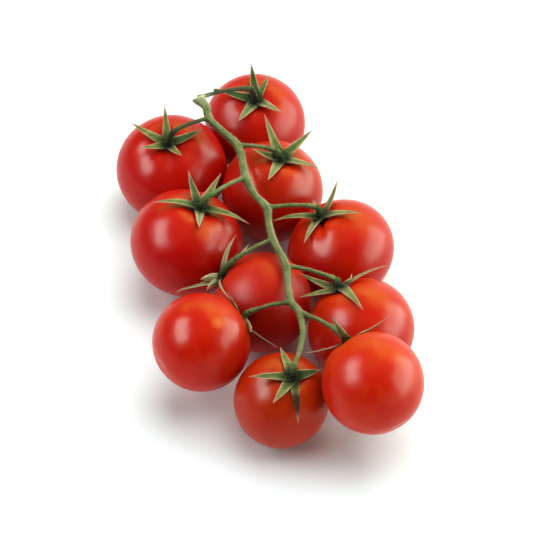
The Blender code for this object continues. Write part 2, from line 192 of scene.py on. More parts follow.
KNUCKLE_OVERLAP = 0.12     # how far stalk and neck reach into each other at the knuckle
KNUCKLE_CREASE = 0.72      # their end radius there, as a share

# Sepals: bearing, mean pitch, length, curl, width and roll, as in the frame.
SEPALS = {
    1: [(98, 14, 14, 15, 3.7, 0), (66, 8, 11, 25, 3.0, 0), (-36, 16, 11, -10, 3.6, 0),
        (-122, 14, 12, 10, 4.2, 0), (166, 8, 15, 15, 4.0, 0)],
    2: [(94, 16, 14, 10, 3.4, 0), (148, 10, 15, 10, 3.4, 0), (-156, 30, 10.5, 15, 3.2, 0),
        (-52, 28, 9.5, 10, 3.0, 0), (22, 8, 13, 20, 4.0, 0)],
    3: [(118, 30, 16.5, 10, 4.2, 0), (44, 26, 15, 10, 4.0, 0), (-12, 4, 13, -20, 3.2, 0),
        (-112, 8, 12, 10, 3.8, 0), (-178, 24, 11, 20, 3.8, 0)],
    4: [(118, 28, 13.5, 15, 3.8, 0), (66, 34, 14.5, 10, 3.6, 0), (-12, 4, 17.5, -35, 3.8, 0),
        (-92, 12, 12, 10, 3.6, 0), (-176, -5, 15.5, -45, 3.6, 0)],
    5: [(46, 26, 14, 30, 3.4, 0), (-22, -3, 15, -35, 3.4, 0), (-120, 2, 12.5, -20, 4.0, 0),
        (176, 20, 16.5, -40, 3.8, 0), (103, 2, 12, 10, 3.0, 0)],
    6: [(-12, 14, 15.5, -40, 3.0, 50), (8, -6, 14, 10, 4.2, 35), (174, 44, 16.5, -20, 3.8, -45),
        (-150, 56, 8, -60, 4.2, 60), (-160, 24, 6.5, -40, 3.4, 60), (-103, -22, 20, -60, 1.2, 0)],
    7: [(156, 44, 15, 20, 3.4, -30), (-176, 16, 14, 0, 3.2, -25), (-74, -20, 18, -45, 3.8, 0),
        (-4, 2, 17, -25, 2.2, 18), (64, 4, 10.5, 40, 2.8, 0)],
    8: [(-38, -12, 13.5, -20, 4.0, -45), (20, 26, 15, 15, 1.8, 0), (-110, -6, 12, -10, 2.4, 0),
        (-170, -20, 10, -20, 3.4, 0), (62, -20, 10, -20, 3.0, 0)],
    9: [(110, -2, 11, 10, 3.8, 0), (22, 4, 9.5, 10, 3.8, 0), (-82, -8, 15, -15, 3.2, 0),
        (-122, 4, 12, 10, 3.8, 0), (-172, 2, 14, -10, 3.4, 0)],
    10: [(-100, 32, 14.5, 20, 3.0, 0), (-10, 2, 14.5, 20, 2.6, 0), (-174, 16, 13.5, 20, 1.8, 0),
         (130, -5, 11, -10, 3.2, 0), (70, -5, 10, -10, 3.0, 0)],
}
SEPAL_FOLD = 0.42
SEPAL_ROOT = 1.1
SEPAL_ROOT_RISE = 0.45
SEPAL_ROOT_SHARE = 1.1
SEPAL_SWELL = 0.25
SEPAL_TAPER = 0.85
SEPAL_TIP_WIDTH = 0.25
SEPAL_LIFT = 0.1
SEPAL_STEPS = 26
SEPAL_ACROSS = 8           # spans across each face
SEPAL_THICKNESS = 0.55     # at the midrib
SEPAL_EDGE = 0.16          # at the edges
SEPAL_WAVE = 0.10          # waviness of the edges, as a share of the half width
SEPAL_WAVES = (5, 1.5)     # waves along a sepal and across its half
SEPAL_CHANNEL = 1.4        # how sharply a sepal folds up: 1 = a straight V, 2 = a round channel
SEPAL_THIN = 0.35          # share of its thickness that a sepal keeps where it runs to a point
RIM_RADIUS = 2.3
RIM_HEIGHT = 1.5
RIM_OUTLINE = [(1.0, 0.0), (1.0, 0.45), (0.93, 0.75), (0.80, 1.0)]     # shares of radius and height
FRUIT_GAP = 0.35

# How dark each sepal is, in the order above: -1 = pale, 0 = as most, 1 = dark.
SEPAL_TONES = {
    1: (0.8, 0.3, -0.5, -0.4, 1.0),
    2: (0.1, -0.1, 0.1, 0.1, 0.7),
    3: (0.0, 0.0, -0.4, -0.4, 0.1),
    4: (0.6, 0.1, 0.0, -0.6, -0.1),
    5: (-0.2, -0.3, -0.5, -0.2, -0.2),
    6: (-0.8, -0.8, -0.5, -0.8, -0.8, -0.8),
    7: (-0.2, -0.2, -0.2, -0.5, -0.1),
    8: (-0.3, 0.0, 0.0, 0.2, 0.2),
    9: (0.2, 0.9, 0.4, 0.1, 0.4),
    10: (0.1, -0.2, -0.2, 0.2, 0.2),
}
WITHERED = (9, 2)          # calyx and place of the one sepal that is withered

# Hairs of the green parts.
HAIR_RADIUS = 0.032
HAIR_LENGTH = (0.35, 1.0)
HAIR_DENSITY = {"stem": 2.2, "calyx": 0.9}     # to the square millimetre
HAIR_LEAN = 0.45           # how far at most a hair leans aside, as a share
HAIR_ROOT = 0.05           # depth of a hair's foot in the bark
HAIR_SIDES = 3

VOXEL = 0.26               # grain of the skin that joins the stem and its stalks
SOFTEN_SHARE = 0.5         # how much each round of smoothing softens that skin
SOFTEN_ROUNDS = 4

# Colours of the fruits, as linear red, green and blue.
RED_FLANK = (0.48, 0.0012, 0.0004)
RED_SHOULDER = (0.52, 0.0060, 0.0008)
ORANGE_FLANK = (0.58, 0.0170, 0.0008)
ORANGE_SHOULDER = (0.60, 0.0550, 0.0020)
BROWN_FLANK = (0.42, 0.0300, 0.0010)
BROWN_SHOULDER = (0.43, 0.0450, 0.0020)
HOLLOW_COLOUR = (0.36, 0.040, 0.008)
FLECK_COLOUR = (0.70, 0.15, 0.02)
# colour of the painted orange glint below
GLINT_PAINT_COLOUR = (0.80, 0.28, 0.06)
SKIN_SCATTER = (1.0, 0.15, 0.05)

# Colours of the stem: bark from dark to pale, its streaks, the tan of painted light on its lit side
# and the painted shade on its other side, the dark stalks, and the cut face.
BARK = ((0.105, 0.146, 0.042), (0.175, 0.208, 0.074), (0.290, 0.285, 0.130))
BARK_STREAK = (0.38, 0.34, 0.20)
BARK_PAINTED_LIGHT = (0.52, 0.38, 0.26)
BARK_PAINTED_SHADE = (0.040, 0.075, 0.019)
BARK_DARK = (0.058, 0.060, 0.026)
PITH = ((0.42, 0.47, 0.27), (0.66, 0.69, 0.48))

# Colours of the calyxes and the hairs; the sepals carry painted shade in their grooves and at the
# calyx centre, and painted light on their tan edges.
BLADE = ((0.125, 0.158, 0.040), (0.350, 0.345, 0.130))
BLADE_DARK = (0.042, 0.072, 0.020)
BLADE_PALE = (0.52, 0.50, 0.30)
BLADE_CHANNEL_SHADE = (0.060, 0.100, 0.028)
BLADE_EDGE_TAN_AND_LIGHT = (0.61, 0.49, 0.32)
BLADE_WITHERED = (0.060, 0.026, 0.016)
BLADE_TIP = (0.55, 0.30, 0.21)
BLADE_ROOT_SHADE = (0.016, 0.022, 0.006)
NECK = ((0.070, 0.112, 0.030), (0.160, 0.190, 0.065))
NECK_DARK = (0.050, 0.050, 0.020)
NECK_BASE_SHADE = (0.015, 0.021, 0.006)
GREEN_SHEEN = (1.0, 0.74, 0.58)
HAIR = ((0.52, 0.44, 0.30), (0.72, 0.58, 0.44))


def axis_of(spec):
    """Unit vector along a fruit's stem axis, from its lean and the direction it leans towards."""
    lean = math.radians(spec["lean"])
    toward = math.radians(spec["toward"])
    return Vector((math.sin(lean) * math.cos(toward), math.sin(lean) * math.sin(toward), math.cos(lean)))


def axis_frame(z, place):
    """Frame at place with +Z along the unit vector z and +X as near to the world's +X as it can be."""
    x = (Vector((1, 0, 0)) - z.x * z).normalized()
    y = z.cross(x)
    return Matrix.Translation(place) @ Matrix((x, y, z)).transposed().to_4x4()


def add_piece(name, bm, material, replaces=None):
    """Turns bm into a smooth piece of the scene that rides on the truss."""
    mesh = bpy.data.meshes.new(name)
    bm.to_mesh(mesh)
    bm.free()
    mesh.shade_smooth()
    mesh.materials.append(material)
    obj = bpy.data.objects.new(name, mesh)
    bpy.context.scene.collection.objects.link(obj)
    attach(obj, BODY)
    if replaces:
        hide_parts(replaces)
    return obj


# Materials


class Nodes:
    """Short ways to add and join shader nodes in one material."""

    def __init__(self, name):
        self.material = bpy.data.materials.new(name)
        self.material.use_nodes = True
        self.tree = self.material.node_tree
        self.shader = self.tree.nodes["Principled BSDF"]

    def add(self, kind, **values):
        node = self.tree.nodes.new(kind)
        for key, value in values.items():
            setattr(node, key, value)
        return node

    def join(self, source, target):
        self.tree.links.new(source, target)

    def set(self, **values):
        for key, value in values.items():
            self.shader.inputs[key.replace("_", " ")].default_value = value

    def texture(self, kind, vector, scale, **inputs):
        node = self.add(kind)
        self.join(vector, node.inputs["Vector"])
        node.inputs["Scale"].default_value = scale
        for key, value in inputs.items():
            node.inputs[key.replace("_", " ")].default_value = value
        return node

    def ramp(self, value, stops):
        """Colour ramp with stops of (position, colour)."""
        stops = list(stops)
        node = self.add("ShaderNodeValToRGB")
        elements = node.color_ramp.elements
        while len(elements) < len(stops):
            elements.new(0.5)
        for element, (position, colour) in zip(elements, stops):
            element.position = position
            element.color = (*colour, 1)
        self.join(value, node.inputs["Fac"])
        return node.outputs["Color"]

    def range(self, value, low, high, to_low=0.0, to_high=1.0):
        """Goes softly from to_low to to_high while value goes from low to high."""
        node = self.add("ShaderNodeMapRange", interpolation_type="SMOOTHSTEP")
        self.join(value, node.inputs["Value"])
        node.inputs["From Min"].default_value = low
        node.inputs["From Max"].default_value = high
        node.inputs["To Min"].default_value = to_low
        node.inputs["To Max"].default_value = to_high
        return node.outputs["Result"]

    def mix(self, share, first, second):
        """Mixes two colours, each a socket or a plain colour; share is a socket or a number."""
        node = self.add("ShaderNodeMix", data_type="RGBA")
        for value, place in ((share, 0), (first, 6), (second, 7)):
            if isinstance(value, bpy.types.NodeSocket):
                self.join(value, node.inputs[place])
            elif place == 0:
                node.inputs[place].default_value = value
            else:
                node.inputs[place].default_value = (*value, 1)
        return node.outputs[2]

    def product(self, first, second):
        node = self.add("ShaderNodeMath", operation="MULTIPLY")
        self.join(first, node.inputs[0])
        self.join(second, node.inputs[1])
        return node.outputs[0]

    def facing(self, side, low, high, most):
        """Share up to most that grows as the surface turns to this side of the truss."""
        turned = self.add("ShaderNodeVectorMath", operation="DOT_PRODUCT")
        self.join(self.add("ShaderNodeTexCoord").outputs["Normal"], turned.inputs[0])
        turned.inputs[1].default_value = side
        return self.range(turned.outputs["Value"], low, high, 0.0, most)

    def bump(self, height, distance, strength, before=None):
        node = self.add("ShaderNodeBump")
        node.inputs["Distance"].default_value = distance
        node.inputs["Strength"].default_value = strength
        self.join(height, node.inputs["Height"])
        if before:
            self.join(before, node.inputs["Normal"])
        return node.outputs["Normal"]


def blended(first, second, share):
    """Colour at this share of the way from first to second."""
    return tuple(a + (b - a) * share for a, b in zip(first, second))


def skin_colour(n, place, number):
    """Deep red, more orange round the shoulders, with soft patches, streaks, flecks and, on some fruits, a
    painted orange highlight.
    """
    orange = ORANGE[number]
    flank = blended(blended(RED_FLANK, ORANGE_FLANK, orange), BROWN_FLANK, BROWN[number])
    shoulder = blended(blended(RED_SHOULDER, ORANGE_SHOULDER, orange), BROWN_SHOULDER, BROWN[number])
    outward = n.add("ShaderNodeVectorMath", operation="NORMALIZE")
    n.join(place, outward.inputs[0])
    axis = n.add("ShaderNodeSeparateXYZ")
    n.join(outward.outputs["Vector"], axis.inputs["Vector"])
    stops = [(0.0, flank), (0.45, flank), (0.82, shoulder), (0.975, shoulder), (1.0, HOLLOW_COLOUR)]
    base = n.ramp(axis.outputs["Z"], stops)
    cloud = n.texture("ShaderNodeTexNoise", place, scale=2.1 + 0.1 * number, Detail=3.0, Roughness=0.5)
    patch = n.range(cloud.outputs["Fac"], 0.42, 0.66, 0.0, 0.50)
    base = n.mix(patch, base, shoulder)
    stretch = n.add("ShaderNodeMapping")
    stretch.inputs["Scale"].default_value = (1.0, 1.0, 0.14)
    n.join(place, stretch.inputs["Vector"])
    streak = n.texture("ShaderNodeTexNoise", stretch.outputs["Vector"], scale=9.0, Detail=2.0)
    base = n.mix(n.range(streak.outputs["Fac"], 0.52, 0.78, 0.0, 0.20), base, shoulder)
    fleck = n.texture("ShaderNodeTexVoronoi", place, scale=17, Randomness=1.0)
    dot = n.range(fleck.outputs["Distance"], 0.08, 0.20, 0.06, 0.0)
    base = n.mix(dot, base, FLECK_COLOUR)
    # Painted highlight: a soft orange glint of a warm lamp, painted on the side of the fruit that faces
    # it.
    if number in PAINTED_GLINTS:
        strength, reach, side = PAINTED_GLINTS[number]
        low = math.cos(math.radians(reach))
        base = n.mix(n.facing(side.normalized(), low, 2 - low, strength), base, GLINT_PAINT_COLOUR)
    return base


def skin_material(number):
    """Glossy tomato skin with soft dents under a clear coat."""
    n = Nodes(f"tomato_skin_{number:02d}")
    place = n.add("ShaderNodeAttribute", attribute_name="own_place").outputs["Vector"]
    n.join(skin_colour(n, place, number), n.shader.inputs["Base Color"])
    gloss = n.texture("ShaderNodeTexNoise", place, scale=5, Detail=3.0)
    n.join(n.range(gloss.outputs["Fac"], 0.3, 0.7, 0.38, 0.46), n.shader.inputs["Roughness"])
    dents = n.texture("ShaderNodeTexNoise", place, scale=3, Detail=1.0)
    grain = n.texture("ShaderNodeTexNoise", place, scale=45, Detail=2.0)
    wave = n.bump(dents.outputs["Fac"], 0.0009, 0.25)
    n.join(n.bump(grain.outputs["Fac"], 0.00004, 0.20, wave), n.shader.inputs["Normal"])
    n.set(Subsurface_Weight=0.28, Subsurface_Scale=0.004, Specular_IOR_Level=0.06,
          Coat_Weight=0.64, Coat_Roughness=COAT_ROUGHNESS.get(number, PLAIN_COAT), Coat_IOR=1.38)
    n.shader.inputs["Subsurface Radius"].default_value = SKIN_SCATTER
    return n.material


def stem_material():
    """Matt green bark: painted tan light on one side, painted shade on the other, pale at the cut end."""
    n = Nodes("truss_stem")
    place = n.add("ShaderNodeTexCoord").outputs["Object"]
    cloud = n.texture("ShaderNodeTexNoise", place, scale=220, Detail=4.0, Roughness=0.6)
    base = n.ramp(cloud.outputs["Fac"], zip((0.30, 0.50, 0.72), BARK))
    stretch = n.texture("ShaderNodeTexNoise", place, scale=900, Detail=3.0)
    base = n.mix(n.range(stretch.outputs["Fac"], 0.50, 0.72, 0.0, 0.30), base, BARK_STREAK)
    # Painted light and shade: bark turned to one side is painted tan as if lit, bark turned away is
    # painted dark as if shaded.
    base = n.mix(n.facing(LIT_SIDE, 0.62, 0.98, 0.62), base, BARK_PAINTED_LIGHT)
    base = n.mix(n.facing(-LIT_SIDE, 0.15, 0.85, 0.70), base, BARK_PAINTED_SHADE)
    dark = n.add("ShaderNodeAttribute", attribute_name="dark").outputs["Fac"]
    base = n.mix(dark, base, BARK_DARK)
    cut = n.add("ShaderNodeAttribute", attribute_name="cut").outputs["Fac"]
    pith = n.texture("ShaderNodeTexNoise", place, scale=1500, Detail=2.0)
    face = n.ramp(pith.outputs["Fac"], zip((0.35, 0.65), PITH))
    base = n.mix(cut, base, face)
    n.join(base, n.shader.inputs["Base Color"])
    n.set(Roughness=0.62, Sheen_Weight=0.60, Sheen_Roughness=0.35, Specular_IOR_Level=0.12)
    n.shader.inputs["Sheen Tint"].default_value = (*GREEN_SHEEN, 1)
    n.join(n.bump(stretch.outputs["Fac"], 0.00025, 0.5), n.shader.inputs["Normal"])
    return n.material


def calyx_material():
    """Sepals: painted shade in the groove, paler mottled sides, tan edges brightened as painted light,
    tan tips, and painted shade near black at their roots; the neck is dark green, painted near black
    towards the calyx as shade.
    """
    n = Nodes("truss_calyx")
    place = n.add("ShaderNodeTexCoord").outputs["Object"]
    along = n.add("ShaderNodeAttribute", attribute_name="along").outputs["Fac"]
    aside = n.add("ShaderNodeAttribute", attribute_name="aside").outputs["Fac"]
    blade = n.add("ShaderNodeAttribute", attribute_name="blade").outputs["Fac"]
    tone = n.add("ShaderNodeAttribute", attribute_name="tone").outputs["Fac"]
    withered = n.add("ShaderNodeAttribute", attribute_name="withered").outputs["Fac"]
    cloud = n.texture("ShaderNodeTexNoise", place, scale=350, Detail=4.0, Roughness=0.6)
    side = n.ramp(cloud.outputs["Fac"], zip((0.32, 0.70), BLADE))
    side = n.mix(n.range(tone, 0.0, 1.0, 0.0, 0.85), side, BLADE_DARK)
    side = n.mix(n.range(tone, -1.0, 0.0, 0.80, 0.0), side, BLADE_PALE)
    # Painted shade: darker green down the middle of each folded sepal, where its channel lies in shade.
    groove = n.range(aside, 0.0, 0.38, 0.50, 0.0)
    side = n.mix(groove, side, BLADE_CHANNEL_SHADE)
    # Tan edges, brightened further as painted light where the raised edges catch the light.
    edge = n.range(aside, 0.66, 0.95, 0.0, 0.85)
    side = n.mix(edge, side, BLADE_EDGE_TAN_AND_LIGHT)
    dry = n.product(n.range(along, 0.25, 0.45, 0.0, 0.95), withered)
    side = n.mix(dry, side, BLADE_WITHERED)
    tip = n.range(along, 0.70, 1.0, 0.0, 0.85)
    side = n.mix(tip, side, BLADE_TIP)
    # Painted shade: near black at each sepal's root, round the calyx centre.
    root = n.range(along, 0.04, 0.40, 0.95, 0.0)
    side = n.mix(root, side, BLADE_ROOT_SHADE)
    neck = n.ramp(cloud.outputs["Fac"], zip((0.35, 0.70), NECK))
    neck = n.mix(n.range(tone, 0.0, 1.0), neck, NECK_DARK)
    # Painted shade: on top of its own dark green, the neck goes near black towards the calyx.
    neck = n.mix(n.range(along, 0.05, 0.70), neck, NECK_BASE_SHADE)
    base = n.mix(blade, neck, side)
    n.join(base, n.shader.inputs["Base Color"])
    grain = n.texture("ShaderNodeTexNoise", place, scale=1400, Detail=3.0)
    n.set(Roughness=0.6, Sheen_Weight=0.35, Sheen_Roughness=0.35, Specular_IOR_Level=0.08)
    n.shader.inputs["Sheen Tint"].default_value = (*GREEN_SHEEN, 1)
    n.join(n.bump(grain.outputs["Fac"], 0.00020, 0.5), n.shader.inputs["Normal"])
    return n.material


def hair_material():
    n = Nodes("truss_hair")
    place = n.add("ShaderNodeTexCoord").outputs["Object"]
    cloud = n.texture("ShaderNodeTexNoise", place, scale=500, Detail=1.0)
    base = n.ramp(cloud.outputs["Fac"], zip((0.35, 0.65), HAIR))
    n.join(base, n.shader.inputs["Base Color"])
    n.set(Roughness=0.5)
    return n.material


def floor_material():
    n = Nodes("pale_floor")
    n.set(Base_Color=(*FLOOR_COLOUR, 1), Roughness=0.7)
    return n.material


# Fruits


def fruit_point(direction, number):
    """Surface point, in half widths, for a unit direction in the fruit's own frame (+Z = stem end)."""
    polar = math.acos(max(-1, min(1, direction.z)))
    bearing = math.atan2(direction.y, direction.x)
    hollow = HOLLOW_DEPTH * math.exp(-((polar / HOLLOW_ANGLE) ** 2))
    blossom = BLOSSOM_DEPTH * math.exp(-(((math.pi - polar) / BLOSSOM_ANGLE) ** 2))
    shoulder = math.exp(-(((polar - GROOVE_CENTRE) / GROOVE_SPREAD) ** 2))
    groove = GROOVE_DEPTH * shoulder * (0.5 + 0.5 * math.cos(GROOVE_COUNT * bearing + number)) ** 2
    if number == FURROW_FRUIT:
        aside = math.remainder(bearing - math.radians(FURROW_BEARING), math.tau)
        groove = FURROW_DEPTH * math.exp(-((aside / FURROW_HALF_WIDTH) ** 2) - (polar / FURROW_REACH) ** 4)
    swell = 1 - groove
    height = FRUITS[number]["share"] * direction.z * swell - hollow + blossom
    wave = WAVE_HEIGHT * noise.noise(direction / WAVE_SIZE + Vector((number, 0, 0)))
    return Vector((direction.x * swell, direction.y * swell, height)) * (1 + wave)


def fruit_frame(number):
    """Frame of a fruit, with +Z along its stem axis, which sets its lowest point on its lift."""
    spec = FRUITS[number]
    turn = axis_frame(axis_of(spec), Vector())
    half = spec["width"] / 2 * MM
    lowest = 0
    for i in range(1, POSE_RINGS):
        polar = math.pi * i / POSE_RINGS
        for k in range(POSE_SEGMENTS):
            bearing = math.tau * k / POSE_SEGMENTS
            direction = Vector((math.sin(polar) * math.cos(bearing), math.sin(polar) * math.sin(bearing),
                                math.cos(polar)))
            lowest = min(lowest, (turn @ fruit_point(direction, number)).z * half)
    sink = 0 if spec["lift"] else FOOT_SINK
    height = (spec["lift"] - sink) * MM - lowest
    return Matrix.Translation((spec["x"] * MM, spec["y"] * MM, height)) @ turn


def make_fruit(number):
    """Fine fruit, pressed flat where it rests on the table; it keeps each point's place on it."""
    half = FRUITS[number]["width"] / 2 * MM
    place = fruit_frame(number)
    bm = bmesh.new()
    bmesh.ops.create_uvsphere(bm, u_segments=FRUIT_SEGMENTS, v_segments=FRUIT_RINGS, radius=1)
    own = bm.verts.layers.float_vector.new("own_place")
    for vert in bm.verts:
        point = fruit_point(vert.co.normalized(), number)
        vert[own] = point
        vert.co = place @ (point * half)
        vert.co.z = max(vert.co.z, 0)
    name = f"fruit_{number:02d}"
    return add_piece(f"{name}_skin", bm, skin_material(number), name)


def surface_tree(obj):
    """Search tree of an object's faces."""
    corners = [vert.co for vert in obj.data.vertices]
    return BVHTree.FromPolygons(corners, [tuple(face.vertices) for face in obj.data.polygons])


def pushed_clear(point, trees, gap):
    """The point, moved straight out of any fruit that it is in or nearer to than gap."""
    for tree in trees:
        place, normal, _, _ = tree.find_nearest(point)
        outside = (point - place).dot(normal)
        near = (point - place).length
        if outside < 0 or near < gap:
            point = place + normal * gap
    return point


# Stem and stalks


def smooth_path(points, steps):
    """Catmull-Rom curve through points, each a tuple of numbers, with steps spans between two."""
    knots = [Vector(p) for p in points]
    first = knots[0] * 2 - knots[1]
    last = knots[-1] * 2 - knots[-2]
    knots = [first] + knots + [last]
    path = []
    for a, b, c, d in zip(knots, knots[1:], knots[2:], knots[3:]):
        for step in range(steps):
            t = step / steps
            path.append(0.5 * (2 * b + (c - a) * t + (2 * a - 5 * b + 4 * c - d) * t * t
                               + (3 * b - a - 3 * c + d) * t * t * t))
    path.append(knots[-2])
    return path


def skin_rings(bm, rings):
    """Closed skin over rings of points, with a face across each end; returns the rings of vertices."""
    made = [[bm.verts.new(point) for point in ring] for ring in rings]
    for low, high in zip(made, made[1:]):
        for k, start in enumerate(low):
            after = (k + 1) % len(low)
            bm.faces.new((start, low[after], high[after], high[k]))
    bm.faces.new(reversed(made[0]))
    bm.faces.new(made[-1])
    return made


def tube_rings(places, radius, sides, end_normals=(None, None)):
    """Rings round a path; radius(i, angle) is in metres, and an end may lie on a given plane."""
    normals = [end_normals[0]] + [None] * (len(places) - 2) + [end_normals[1]]
    across = Vector((1, 0, 0))
    rings = []
    for i, place in enumerate(places):
        along = (places[min(i + 1, len(places) - 1)] - places[max(i - 1, 0)]).normalized()
        across = (across - across.dot(along) * along).normalized()
        side = along.cross(across)
        ring = []
        for k in range(sides):
            angle = math.tau * k / sides
            offset = (across * math.cos(angle) + side * math.sin(angle)) * radius(i, angle)
            if normals[i]:
                offset -= along * (offset.dot(normals[i]) / along.dot(normals[i]))
            ring.append(place + offset)
        rings.append(ring)
    return rings


def calyx_frame(number):
    """Frame on the floor of the fruit's stem hollow, with +Z along the fruit's axis."""
    spec = FRUITS[number]
    floor = Vector((0, 0, (spec["share"] - HOLLOW_DEPTH) * spec["width"] / 2 * MM))
    return axis_frame(axis_of(spec), fruit_frame(number) @ floor)


def stalk_paths(number, trees):
    """Points of the stalk up to the knuckle, and of the neck from there to the fruit."""
    station, knuckle = STALKS[number]
    root = Vector(RACHIS[station][:3]) * MM
    knuckle = Vector(knuckle) * MM
    seat = calyx_frame(number) @ Vector((0, 0, (FRUIT_GAP + NECK_SEAT) * MM))
    rise = (axis_of(FRUITS[number]) + (knuckle - seat).normalized()).normalized()
    above = seat + rise * (NECK_FOOT * MM)
    arch = Vector((0, 0, STALK_ARCH * (knuckle - root).length))
    middle = pushed_clear((root + knuckle) / 2 + arch, trees, (STALK_RADIUS + FRUIT_GAP) * MM)
    path = smooth_path([root, middle, knuckle, above, seat], STALK_STEPS)
    bend = 2 * STALK_STEPS
    flow = (path[bend + 1] - path[bend - 1]).normalized() * (KNUCKLE_OVERLAP * MM)
    return path[:bend] + [knuckle + flow], [knuckle - flow] + path[bend + 1:]


def knuckle_end(steps):
    """Share of the full radius, so many steps from a knuckle's end: the end is rounded off."""
    return KNUCKLE_CREASE if steps == 0 else 1


def swelling(share):
    """Radius of a stalk at this share of its length: stout root, slim middle, swollen knuckle."""
    root = ROOT_SWELL * math.exp(-((share / ROOT_SPREAD) ** 2))
    knuckle = (KNUCKLE_RADIUS / STALK_RADIUS - 1) * math.exp(-(((1 - share) / KNUCKLE_SPREAD) ** 2))
    return STALK_RADIUS * (1 + root + knuckle)


def ridged(radius, angle, share):
    """Radius in metres at this angle round a ribbed stem, whose ribs wind slowly along it."""
    return radius * MM * (1 + RIDGE_HEIGHT * math.cos(RIDGES * angle + RIDGE_TWIST * share * RIDGES))


def joined_skin(bm):
    """Turns the overlapping solids in bm into one closed skin, soft where they meet."""
    mesh = bpy.data.meshes.new("solids")
    bm.to_mesh(mesh)
    obj = bpy.data.objects.new("solids", mesh)
    bpy.context.scene.collection.objects.link(obj)
    remesh = obj.modifiers.new("skin", "REMESH")
    remesh.mode = "VOXEL"
    remesh.voxel_size = VOXEL * MM
    soften = obj.modifiers.new("soften", "SMOOTH")
    soften.factor = SOFTEN_SHARE
    soften.iterations = SOFTEN_ROUNDS
    bpy.context.view_layer.update()
    skin = bpy.data.meshes.new_from_object(obj.evaluated_get(bpy.context.evaluated_depsgraph_get()))
    bpy.data.objects.remove(obj)
    bpy.data.meshes.remove(mesh)
    bm.clear()
    bm.from_mesh(skin)
    bpy.data.meshes.remove(skin)


def add_rachis(bm):
    """Adds the zigzag main stem with its slanted cut end."""
    course = smooth_path(RACHIS, RACHIS_STEPS)
    places = [Vector(p[:3]) * MM for p in course]
    last = len(course) - 1

    def radius(i, angle):
        return ridged(course[i][3], angle, i / last)

    skin_rings(bm, tube_rings(places, radius, RACHIS_SIDES, (CUT_NORMAL, None)))


def add_stalk(bm, path):
    """Adds a fruit stalk up to its knuckle."""
    last = len(path) - 1

    def radius(i, angle):
        return ridged(swelling(i / last) * knuckle_end(last - i), angle, i / last)

    skin_rings(bm, tube_rings(path, radius, STALK_SIDES))


def add_scale(bm, foot):
    """Adds the small scale that stands on a stalk: broad at its foot and flat, with a blunt tip."""
    def radius(i, angle):
        taper = 1 - SCALE_TAPER * i / SCALE_STEPS
        return SCALE_RADIUS * MM * taper * (1 - SCALE_FLATNESS + SCALE_FLATNESS * math.cos(2 * angle))

    reach = SCALE_LEAN * (SCALE_LENGTH * MM)
    path = [foot + reach * i / SCALE_STEPS for i in range(SCALE_STEPS + 1)]
    skin_rings(bm, tube_rings(path, radius, STALK_SIDES))


def darkness(point, paths):
    """How dark the bark is here: the stalks on these paths darken as they leave the stem."""
    for number, path in paths.items():
        nearest = min(range(len(path)), key=lambda i: (path[i] - point).length)
        if (path[nearest] - point).length < DARK_REACH * MM:
            share = nearest / (len(path) - 1)
            return DARK_STALKS[number] * min(1, share / DARK_START)
    return 0


def mark_stem(bm, dark_paths):
    """Marks where the stem is cut and where it is dark, and makes it slightly uneven."""
    cut = bm.verts.layers.float.new("cut")
    dark = bm.verts.layers.float.new("dark")
    cut_place = Vector(RACHIS[0][:3]) * MM
    normal = CUT_NORMAL.normalized()
    for vert in bm.verts:
        depth = (cut_place - vert.co).dot(normal)
        reach = (vert.co - cut_place).length
        if abs(depth) < CUT_SKIN * MM and reach < CUT_REACH * MM:
            vert[cut] = 1
        elif depth > 0:
            vert[cut] = CUT_PALE * max(0, 1 - reach / (CUT_FADE * MM))
        vert[dark] = darkness(vert.co, dark_paths)
        vert.co += vert.normal * noise.noise(vert.co * KNOBS_TO_METRE) * KNOB_HEIGHT * MM


def make_stem(trees, material):
    bm = bmesh.new()
    add_rachis(bm)
    paths = {number: stalk_paths(number, trees)[0] for number in STALKS}
    for number, path in paths.items():
        add_stalk(bm, path)
        if number == SCALE_STALK:
            add_scale(bm, path[round((len(path) - 1) * SCALE_SHARE)])
    joined_skin(bm)
    mark_stem(bm, {number: paths[number] for number in DARK_STALKS})
    return add_piece("stem_skin", bm, material, "stem")


# Calyxes


def sepal_half_width(share, width):
    """Half width of a sepal at this share of its length: broad low down, drawn out to a point."""
    blade = width / 2 * (1 - share) ** SEPAL_TAPER * (SEPAL_ROOT_SHARE + SEPAL_SWELL * share)
    return max(blade, SEPAL_TIP_WIDTH / 2) * MM


def sepal_spine(pitch, length, curl):
    """Points along the midrib as (out from the axis, up along it), and the pitch at each."""
    out = SEPAL_ROOT * MM
    up = (FRUIT_GAP + SEPAL_ROOT_RISE) * MM
    spine = []
    for step in range(SEPAL_STEPS + 1):
        angle = math.radians(pitch + curl * (step / SEPAL_STEPS - 0.5))
        spine.append((out, up, angle))
        out += length * MM / SEPAL_STEPS * math.cos(angle)
        up += length * MM / SEPAL_STEPS * math.sin(angle)
    return spine


